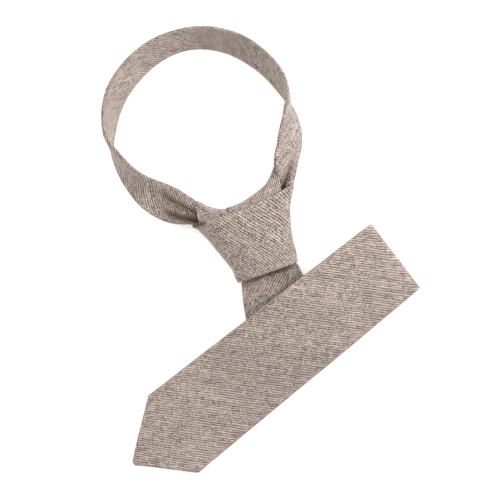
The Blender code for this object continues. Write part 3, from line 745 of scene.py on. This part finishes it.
# %% Neck band stations
LOOP_ROWS = np.array([
    # degrees, radius, tilt, width, lift, cup
    (-20.0, 1.137, 131, 1.02, 0.00, 0.04),
    (-12.0, 1.123, 130, 1.04, 0.00, 0.05),
    (-4.0, 1.114, 127, 1.04, 0.00, 0.04),
    (4.0, 1.109, 116, 1.00, 0.00, 0.02),
    (11.0, 1.106, 101, 1.00, 0.00, 0.02),
    (17.0, 1.115, 87, 1.00, 0.00, 0.06),
    (24.0, 1.115, 74, 1.00, 0.00, 0.03),
    (33.0, 1.102, 65, 1.00, 0.00, 0.02),
    (45.0, 1.076, 59, 1.00, 0.00, 0.02),
    (60.0, 1.052, 56, 1.00, 0.00, 0.03),
    (75.0, 1.026, 56, 1.00, 0.00, 0.03),
    (90.0, 1.001, 57, 1.00, 0.00, 0.03),
    (105.0, 0.971, 56, 1.00, 0.00, 0.03),
    (120.0, 0.947, 54, 1.00, 0.00, 0.03),
    (135.0, 0.933, 53, 1.00, 0.00, 0.03),
    (150.0, 0.935, 55, 1.00, 0.00, 0.03),
    (160.0, 0.941, 58, 1.00, 0.00, 0.02),
    (170.0, 0.945, 64, 1.00, 0.00, 0.01),
    (180.0, 0.950, 72, 1.00, 0.00, 0.01),
    (189.0, 0.954, 82, 1.01, 0.00, 0.04),
    (198.0, 0.933, 98, 0.98, 0.00, 0.05),
    (208.0, 0.922, 111, 0.95, 0.00, -0.01),
    (218.0, 0.919, 123, 0.93, 0.00, -0.04),
    (228.0, 0.915, 138, 0.92, 0.00, -0.06),
    (238.0, 0.915, 156, 0.97, 0.00, -0.05),
    (248.0, 0.924, 168, 1.00, 0.02, -0.03),
    (257.0, 0.941, 173, 0.97, 0.09, 0.00),
    (265.0, 0.968, 174, 0.83, 0.21, 0.02),
])
RIGHT_ARM = np.array([
    # across, up, tilt, width, height, cup
    (0.785, 0.795, 157, 0.32, 0.24, 0.00),
    (0.935, 0.910, 154, 0.42, 0.26, 0.02),
    (1.035, 1.020, 149, 0.56, 0.34, 0.04),
])
LEFT_ARM = np.array([
    (-0.775, 1.118, 169, 0.72, 0.36, 0.03),
    (-0.700, 1.062, 171, 0.63, 0.38, 0.02),
    (-0.600, 0.995, 174, 0.52, 0.38, 0.00),
    (-0.440, 0.910, 178, 0.44, 0.35, 0.00),
    (-0.312, 0.855, 180, 0.40, 0.33, 0.00),
    (-0.080, 0.822, 180, 0.40, 0.32, 0.00),
    (0.040, 0.818, 180, 0.40, 0.32, 0.00),
])


def band_stations():
    """Stations as x, y, tilt, width, height and cup, in metres and degrees."""
    angle = np.radians(LOOP_ROWS[:, 0])
    radius = LOOP_ROWS[:, 1] * LOOP_RADIUS
    plan = np.stack([radius * np.cos(angle), radius * np.sin(angle)], axis=-1)
    tilt = LOOP_ROWS[:, 2]
    width = LOOP_ROWS[:, 3] * BAND_WIDTH
    stand = (width - BAND_THICKNESS) / 2 * np.sin(np.radians(tilt)) + BAND_THICKNESS / 2
    height = stand + LOOP_ROWS[:, 4] * BAND_WIDTH
    loop = np.column_stack([plan, tilt, width, height, LOOP_ROWS[:, 5:] * BAND_WIDTH])
    arms = []
    for table in (RIGHT_ARM, LEFT_ARM):
        place = on_knot(table[:, 0] * HALF_KNOT, table[:, 1] * KNOT_HEIGHT, 0.0)[:, :2]
        shares = table[:, 3:] * np.array([BAND_WIDTH, KNOT_DEPTH, BAND_WIDTH])
        arms.append(np.column_stack([place, table[:, 2], shares]))
    return np.vstack([arms[0], loop, arms[1]])


STATIONS = band_stations()
print("neck band stations:", len(STATIONS))

# %% [markdown]
# A strip is then swept along that curve. At each step three unit vectors stand on the curve: along
# it, across the strip as the tilt turns it, and off its face. The cup bows the strip as one minus
# the share squared. Where the knot squeezes it, two pleats run into the left side and one fold into
# the right. On the back, one side of the cloth laps over the other, which is a low step.

# %% Neck band
BAND_STEPS = 420
BAND_COLUMNS = 44
BAND_SWELL = 0.00018
BAND_WAVE = 0.028
BAND_END = 0.4
LAP_PLACE = -0.61
LAP_WIDTH = 0.05
LAP_STEP = 0.0005
# pleats and fold where the knot squeezes the band: real grooves, and painted shade in them
BAND_CREASES_AND_SHADE = [
    # each row: run, share across, depth, reach
    [(0.298, 0.32, 0.0, 0.17), (0.312, 0.25, 0.0012, 0.18), (0.326, 0.19, 0.0016, 0.16),
     (0.336, 0.16, 0.0013, 0.14), (0.346, 0.14, 0.0014, 0.14)],
    [(0.308, -0.42, 0.0, 0.12), (0.318, -0.50, 0.0014, 0.16), (0.327, -0.56, 0.0020, 0.18),
     (0.336, -0.58, 0.0024, 0.20), (0.346, -0.54, 0.0024, 0.22)],
    [(0.0, 0.5, 0.0012, 0.25), (0.009, 0.40, 0.0022, 0.27), (0.017, 0.02, 0.0017, 0.25),
     (0.026, -0.25, 0.0007, 0.2), (0.036, -0.3, 0.0, 0.2)],
]


def neck_strip():
    """The band as a grid: its run round the loop, and an offset across it."""
    rows = spline(STATIONS, np.linspace(0, len(STATIONS) - 1, 8 * BAND_STEPS))
    run = np.concatenate([[0.0], np.cumsum(np.linalg.norm(np.diff(rows[:, :2], axis=0), axis=1))])
    at = np.linspace(0, run[-1], BAND_STEPS)
    rows = np.stack([np.interp(at, run, rows[:, k]) for k in range(rows.shape[1])], axis=-1)
    centre = rows[:, [0, 1, 4]]
    tangent = unit(np.gradient(centre, axis=0))
    outward = unit(np.cross(tangent, [0.0, 0.0, 1.0]))
    rising = np.cross(outward, tangent)
    tilt = np.radians(rows[:, 2])[:, None]
    across = outward * np.cos(tilt) + rising * np.sin(tilt)
    facing = np.cross(tangent, across)
    width, cup = rows[:, 3], rows[:, 5:6]
    offsets, full = section(width, BAND_THICKNESS, BAND_COLUMNS)
    share = offsets / (width / 2)[:, None]
    groove = creases(at[:, None], share, BAND_CREASES_AND_SHADE)
    bow = cup * (1 - share**2) - groove / 2
    bow = bow + BAND_SWELL * swell(at[:, None], offsets, BAND_WAVE, 2.0) * full
    middle = centre[:, None] + across[:, None] * offsets[..., None] + facing[:, None] * bow[..., None]
    normals = grid_normals(middle)
    half = np.broadcast_to(full * BAND_THICKNESS / 2, offsets.shape)
    low = (middle - np.abs(normals) * half[..., None])[..., 2].min(axis=1)
    middle[..., 2] += np.maximum(-low, 0.0)[:, None]
    lap = LAP_STEP * (smooth((LAP_PLACE - share) / LAP_WIDTH) - 1.0) * full
    ends = np.ones(BAND_STEPS)
    ends[[0, -1]] = BAND_END
    front = np.maximum(half - groove / 2, LEAST_HALF * half) * ends[:, None]
    back = (half + lap) * ends[:, None]
    length = np.cumsum(np.linalg.norm(np.diff(centre, axis=0, prepend=centre[:1]), axis=1))
    print("neck band length, mm:", round(length[-1] * 1000))
    # painted shade in the pleats and the fold
    fold = painted_crease_shade(at[:, None], share, BAND_CREASES_AND_SHADE)
    strip = cloth("neck_strip", middle, normals, front, back, length[:, None], offsets, fold)
    return strip, length[-1]


strip, strip_length = neck_strip()
dress(strip, "neck_band", (BAND_WIDTH, strip_length))

# %% [markdown]
# The blade is one strip that is folded twice. Its flat plan is easy: it widens slowly to 64 mm and
# ends in a point. Folding it is a map from that plan to space. A fold takes every point past its
# line round a half circle and back the other way. The first is a pressed crease across the blade
# under the top layer. The second is a soft roll at the right, and its line lies 1.4 degrees askew.

# %% Blade plan
DROP_HEADING = -71.4
DROP_LENGTH = 0.0447
MIDDLE_HEADING = 38.8
MIDDLE_LENGTH = 0.0922
TOP_LENGTH = 0.2317
FOLD_RADIUS = 0.0031
FOLD_SETTLE = 0.024
FOLD_SKEW = 0.024
FOLD_SLOPE = 0.2
FOLD_RISE = 0.028
FOLD_FALL = 0.065
DRAPE = 0.045
FOOT_ARCH = 0.0068
ARCH_LENGTH = 0.038
POINT_SKEW = 0.055
POINT_SHIFT = -0.0013
TIP_WIDTH = 1.05
TIP_FULLNESS = 0.45

DROP_SIDES = np.array([
    # run, left half width, right half width
    (-0.0092, 0.0155, 0.0165),
    (-0.0045, 0.0168, 0.0184),
    (-0.0022, 0.0181, 0.0200),
    (-0.0009, 0.0193, 0.0220),
    (0.0071, 0.0213, 0.0231),
    (0.0133, 0.0228, 0.0240),
    (0.0250, 0.0246, 0.0252),
    (0.0447, 0.0265, 0.0265),
])

DROP_ALONG, DROP_ACROSS = rotation(DROP_HEADING)
CREASE_HEADING = (DROP_HEADING + MIDDLE_HEADING) / 2
CREASE_ANGLE = math.radians(CREASE_HEADING - DROP_HEADING)
CREASE_OUT = -rotation(CREASE_HEADING)[1]
MIDDLE_ALONG = rotation(MIDDLE_HEADING)[0]
CREASE_RADIUS = (BLADE_THICKNESS + CLEARANCE) / 2
CREASE_TURN = math.pi * CREASE_RADIUS
CREASE_SHIFT = CREASE_TURN * math.sin(CREASE_ANGLE)
FOLD_START = DROP_LENGTH + MIDDLE_LENGTH + CREASE_SHIFT - FOLD_RADIUS - BLADE_THICKNESS / 2
FOLD_TURN = math.pi * FOLD_RADIUS
TIP = FOLD_START + FOLD_TURN + TOP_LENGTH - FOLD_RADIUS - BLADE_THICKNESS / 2 + FOLD_SKEW * BLADE_WIDTH
SHOULDER = TIP - POINT_LENGTH
FOOT_SLANT = math.radians(DROP_HEADING + 90 - KNOT_TURN)
BLADE_ROOT = -(CORE_FOOT * KNOT_HEIGHT - CLEARANCE) / math.cos(FOOT_SLANT)
ROOT_SKEW = math.tan(FOOT_SLANT)
CREASE_SKEW = 1 / math.tan(CREASE_ANGLE)
print("blade from the knot to its tip, mm:", round(TIP * 1000))


def blade_width(u):
    """Flat width: it tapers away from the shoulders, and falls to a narrow tip past them."""
    body = BLADE_WIDTH - BLADE_TAPER * (SHOULDER - np.minimum(u, SHOULDER))
    point = np.clip((TIP - u) / POINT_LENGTH, 0, 1)
    narrow = BLADE_THICKNESS * TIP_WIDTH
    return np.where(u < SHOULDER, body, narrow + (BLADE_WIDTH - narrow) * point)


def half_width(u, side):
    """Half width on one side: the table's below the knot, and half the flat width past it."""
    drop = np.interp(u, DROP_SIDES[:, 0], DROP_SIDES[:, side])
    return np.where(u < DROP_SIDES[-1, 0], drop, blade_width(u) / 2)


# %% [markdown]
# Each layer lies on what is under it. So its height is worked out from the table up: the tail, the
# drop over the tail, the middle run over the drop, and the top run over that. Where a layer runs
# past the edge of what is below, it comes down over some 45 mm, as padded cloth does. The soft fold
# isn't pressed, so it springs open: the top run goes on rising for 28 mm from it, and from 24 mm on
# it also comes down, over 65 mm.

# %% Blade heights
def drop_place(plan):
    """Distance along and across the stretch below the knot."""
    away = plan - KNOT_FOOT
    return away @ DROP_ALONG, away @ DROP_ACROSS


def past_crease(plan):
    """Distance beyond the outside of the hidden crease."""
    start = KNOT_FOOT + DROP_ALONG * DROP_LENGTH
    return (plan - start) @ CREASE_OUT - CREASE_RADIUS - BLADE_THICKNESS / 2


def drop_height(plan):
    """Half a thickness, plus the tail where it is below, plus an arch by the knot's foot."""
    u, v = drop_place(plan)
    cover = falling(u - TAIL_LENGTH, DRAPE) * falling(np.abs(v) - TAIL_WIDTH / 2, DRAPE)
    half = (half_width(u, 1) + half_width(u, 2)) / 2
    arch = FOOT_ARCH * falling(u, ARCH_LENGTH) * (1 - np.clip(v / half, -1, 1) ** 2) ** 2
    return BLADE_THICKNESS / 2 + (TAIL_THICKNESS + CLEARANCE) * cover + arch


def middle_height(plan):
    """The drop's height plus one thickness over it, and down to the table beside it."""
    u, v = drop_place(plan)
    beside = falling(np.abs(v) - blade_width(u) / 2, DRAPE)
    return drop_height(plan) + (BLADE_THICKNESS + CLEARANCE) * beside * falling(past_crease(plan), DRAPE)


def fold_spring(turn):
    """Spring of the soft fold: slope times radius times the turn past a quarter, squared, over pi."""
    return FOLD_SLOPE * FOLD_RADIUS * np.maximum(turn - math.pi / 2, 0.0) ** 2 / math.pi


def top_height(plan, from_fold):
    """One more thickness over the middle run, plus the soft fold's lift.

    From the fold the lift rises on along a parabola, and further on it smoothly falls to nothing.
    """
    over = (BLADE_THICKNESS + CLEARANCE) * falling(past_crease(plan), DRAPE)
    lift = 2 * FOLD_RADIUS - BLADE_THICKNESS - CLEARANCE + fold_spring(math.pi)
    share = np.clip(from_fold / FOLD_RISE, 0, 1)
    lift = lift + FOLD_SLOPE * FOLD_RISE * share * (1 - share / 2)
    return middle_height(plan) + over + lift * falling(from_fold - FOLD_SETTLE, FOLD_FALL)


# %% [markdown]
# Rows are close together in the folds and wide apart on the flat. Those near the crease are slanted
# to lie along it, so that a row never straddles it. Two creases are pressed in by the knot's foot, a
# sharp one along its edge and a broad one below, and painted shade darkens the colour in both.

# %% Blade
CREASE_END = DROP_LENGTH + CREASE_TURN / math.sin(CREASE_ANGLE)
FOLD_END = FOLD_START + FOLD_TURN
BLADE_STRETCHES = [
    # from, to, rows, slant from, slant to
    (BLADE_ROOT, 0.0, 12, ROOT_SKEW, 0.0),
    (0.0, DROP_LENGTH, 60, 0.0, CREASE_SKEW),
    (DROP_LENGTH, CREASE_END, 24, CREASE_SKEW, CREASE_SKEW),
    (CREASE_END, FOLD_START, 70, CREASE_SKEW, 0.0),
    (FOLD_START, FOLD_END, 30, 0.0, 0.0),
    (FOLD_END, FOLD_END + FOLD_SETTLE, 24, 0.0, 0.0),
    (FOLD_END + FOLD_SETTLE, SHOULDER, 150, 0.0, POINT_SKEW),
    (SHOULDER, TIP, 40, POINT_SKEW, 0.0),
]
BLADE_COLUMNS = 50
BLADE_SWELL = 0.00022
BLADE_WAVE = 0.055
WIDTH_ROUNDS = 8
# creases by the knot's foot: real grooves, and painted shade for the shadow under the foot and below it
BLADE_CREASES_AND_SHADE = [
    # each row: place across, run, depth, reach
    [(-0.016, -0.0010, 0.0, 0.001), (-0.008, -0.0008, 0.0010, 0.001),
     (0.005, -0.0008, 0.0014, 0.0012), (0.013, -0.0008, 0.0017, 0.0014),
     (0.018, -0.0008, 0.0008, 0.0012), (0.020, -0.0008, 0.0, 0.001)],
    [(-0.005, 0.0030, 0.0, 0.003), (0.001, 0.0035, 0.0008, 0.003),
     (0.006, 0.0035, 0.0008, 0.003), (0.011, 0.0045, 0.0010, 0.004),
     (0.0145, 0.0035, 0.0, 0.003)],
]


def blade_rows():
    """Places along the blade's middle line, and the slant of the row there."""
    places, skews = [np.array([BLADE_ROOT])], [np.array([ROOT_SKEW])]
    for start, end, count, first, last in BLADE_STRETCHES:
        places.append(np.linspace(start, end, count + 1)[1:])
        skews.append(np.linspace(first, last, count + 1)[1:])
    return np.concatenate(places), np.concatenate(skews)


def wide_blade():
    """The blade as a grid: its flat plan, then the crease's half turn, then the soft fold's.

    A point's height is that of the layer it ends up in, plus how far its fold has lifted it.
    """
    line, skew = blade_rows()
    left, right = half_width(line, 1), half_width(line, 2)
    slant = np.where(line < DROP_LENGTH, skew, 0.0)
    for _ in range(WIDTH_ROUNDS):
        left, right = half_width(line - slant * left, 1), half_width(line + slant * right, 2)
    width = left + right
    v, full = section(width, BLADE_THICKNESS, BLADE_COLUMNS)
    v = v * np.where(v < 0, left[:, None], right[:, None]) / (width / 2)[:, None]
    v = v + (POINT_SHIFT * smooth((line - SHOULDER) / POINT_LENGTH))[:, None]
    u = line[:, None] + skew[:, None] * v
    groove = creases(v, u, BLADE_CREASES_AND_SHADE)
    flat = KNOT_FOOT + u[..., None] * DROP_ALONG + v[..., None] * DROP_ACROSS

    start = KNOT_FOOT + DROP_ALONG * DROP_LENGTH
    past = np.maximum((flat - start) @ CREASE_OUT, 0.0)
    turn = np.minimum(past / CREASE_RADIUS, math.pi)
    back = past + np.maximum(past - CREASE_TURN, 0.0) - CREASE_RADIUS * np.sin(turn)
    folded = flat - CREASE_OUT * back[..., None]

    beyond = np.maximum(u - FOLD_START + FOLD_SKEW * (v - BLADE_WIDTH / 2), 0.0)
    fold = np.minimum(beyond / FOLD_RADIUS, math.pi)
    back = beyond + np.maximum(beyond - FOLD_TURN, 0.0) - FOLD_RADIUS * np.sin(fold)
    plan = folded - MIDDLE_ALONG * back[..., None]

    low = drop_height(plan) + CREASE_RADIUS * (1 - np.cos(turn))
    mid = middle_height(plan) + FOLD_RADIUS * (1 - np.cos(fold)) + fold_spring(fold)
    top = top_height(plan, beyond - FOLD_TURN)
    height = np.where(turn < math.pi, low, np.where(fold < math.pi, mid, top))
    on_top = smooth((beyond - FOLD_TURN) / FOLD_SETTLE)
    height = height + BLADE_SWELL * on_top * (1 + swell(u, v, BLADE_WAVE, 3.0)) - groove / 2

    out = MIDDLE_ALONG * np.sin(fold)[..., None] - CREASE_OUT * np.sin(turn)[..., None]
    up = np.cos(turn) * np.cos(fold)
    normals = np.concatenate([out, up[..., None]], axis=-1)
    points = np.concatenate([plan, height[..., None]], axis=-1)
    thin = np.where(line == TIP, TIP_FULLNESS, 1.0)[:, None]
    half = full * thin * BLADE_THICKNESS / 2
    front = np.maximum(half - groove / 2, LEAST_HALF * half)
    area = (width[1:] + width[:-1]) @ np.diff(line) / 2
    print("blade's flat area, cm2:", round(area * 1e4, 1))
    # painted crease shade, reusing the name of the soft fold's turn above
    fold = painted_crease_shade(v, u, BLADE_CREASES_AND_SHADE)
    return cloth("wide_blade", points, normals, front, half, u, v, fold)


BLADE_FLAT = (BLADE_WIDTH, TIP - BLADE_ROOT)
dress(wide_blade(), "front_blade", BLADE_FLAT)

# %% [markdown]
# The tail is the narrow end, straight and flat on the table. It shows only from the side, as a dark
# edge under the blade.

# %% Tail
TAIL_SQUEEZE = 0.62
TAIL_SPREAD = 0.0115
TAIL_COLUMNS = 30
TAIL_FLAT = (TAIL_WIDTH, TAIL_LENGTH - BLADE_ROOT)


def narrow_tail():
    """The tail as a flat grid, with a small point of its own."""
    shoulder = TAIL_LENGTH - TAIL_POINT
    body, tip = np.linspace(BLADE_ROOT, shoulder, 70), np.linspace(shoulder, TAIL_LENGTH, 20)
    line = np.concatenate([body, tip[1:]])
    skew = ROOT_SKEW * falling(line - BLADE_ROOT, -BLADE_ROOT)
    narrow = TAIL_THICKNESS * TIP_WIDTH
    point = np.clip((TAIL_LENGTH - line) / TAIL_POINT, 0, 1)
    squeeze = np.interp(line, [0.0, TAIL_SPREAD], [TAIL_SQUEEZE, 1.0])
    width = narrow + (TAIL_WIDTH - narrow) * point * squeeze
    v, full = section(width, TAIL_THICKNESS, TAIL_COLUMNS)
    u = line[:, None] + skew[:, None] * v
    plan = KNOT_FOOT + u[..., None] * DROP_ALONG + v[..., None] * DROP_ACROSS
    points = np.concatenate([plan, np.full(v.shape + (1,), TAIL_THICKNESS / 2)], axis=-1)
    normals = np.broadcast_to([0.0, 0.0, 1.0], points.shape)
    thin = np.where(line == TAIL_LENGTH, TIP_FULLNESS, 1.0)[:, None]
    half = full * thin * TAIL_THICKNESS / 2
    return cloth("narrow_tail", points, normals, half, half, u, v)


dress(narrow_tail(), "tail_blade", TAIL_FLAT)

# %% [markdown]
# The photograph is lit softly from the right and has a pure white ground. One large lamp stands at
# the right, a weaker one at the upper left, and a pale warm sky fills the shadows. So the right side
# of the neck band is the lightest, and the cloth that faces the loop's middle is the darkest. The
# floor is near white and glows a little, and the standard view transform keeps white as it is.

# %% Floor and light
FLOOR_SIZE = 6.0
FLOOR_LEVEL = -0.0002
FLOOR_GLOW = 0.45
SKY_COLOR = (1.0, 0.96, 0.92, 1.0)
SKY_STRENGTH = 0.52
LAMPS = [
    # name, place, size, power, color
    ("key", (1.45, 0.4, 1.0), 1.5, 33.0, (1.0, 0.995, 0.99)),
    ("fill", (-1.0, 0.8, 1.1), 1.6, 14.0, (1.0, 0.99, 0.98)),
]


def floor():
    """A pale matte square, far larger than the view."""
    bpy.ops.mesh.primitive_plane_add(size=FLOOR_SIZE, location=(0, 0, FLOOR_LEVEL))
    ground = bpy.context.object
    ground.name = "floor"
    pale = bpy.data.materials.new("pale floor")
    pale.use_nodes = True
    shader = pale.node_tree.nodes["Principled BSDF"]
    shader.inputs["Base Color"].default_value = (0.97, 0.97, 0.97, 1.0)
    shader.inputs["Roughness"].default_value = 0.95
    shader.inputs["Specular IOR Level"].default_value = 0.1
    shader.inputs["Emission Color"].default_value = (1.0, 1.0, 1.0, 1.0)
    shader.inputs["Emission Strength"].default_value = FLOOR_GLOW
    ground.data.materials.append(pale)


def lamp(name, place, size, power, color):
    """A square area light that looks at the tie."""
    light = bpy.data.lights.new(name, "AREA")
    light.size = size
    light.energy = power
    light.color = color
    stand = bpy.data.objects.new(name, light)
    stand.location = place
    away = np.array(place) / np.linalg.norm(place)
    stand.rotation_euler = (math.acos(away[2]), 0.0, math.atan2(away[1], away[0]) + math.pi / 2)
    bpy.context.scene.collection.objects.link(stand)


floor()
for row in LAMPS:
    lamp(*row)
bpy.context.scene.view_settings.view_transform = "Standard"

world = bpy.data.worlds.new("pale room")
world.use_nodes = True
sky = world.node_tree.nodes["Background"]
sky.inputs["Color"].default_value = SKY_COLOR
sky.inputs["Strength"].default_value = SKY_STRENGTH
bpy.context.scene.world = world

# %% [markdown]
# The camera looks straight down from far above with a long lens, as for a catalogue picture, so that
# the standing neck band hardly leans outwards. Its frame is 346 mm wide at 8 mm above the table, a
# middle height of the tie.

# %% Camera
VIEW_WIDTH = 0.346
VIEW_HEIGHT = 2.0
VIEW_LEVEL = 0.008
VIEW_MIDDLE = (-0.0073, 0.0)
SENSOR = 0.036

lens = bpy.data.cameras.new("overhead camera")
lens.sensor_width = SENSOR * 1000
lens.lens = SENSOR * 1000 * (VIEW_HEIGHT - VIEW_LEVEL) / VIEW_WIDTH
camera = bpy.data.objects.new("overhead camera", lens)
camera.location = (*VIEW_MIDDLE, VIEW_HEIGHT)
bpy.context.scene.collection.objects.link(camera)
bpy.context.scene.camera = camera
print("lens, mm:", round(lens.lens))

# %% Hand over
bpy.context.view_layer.update()
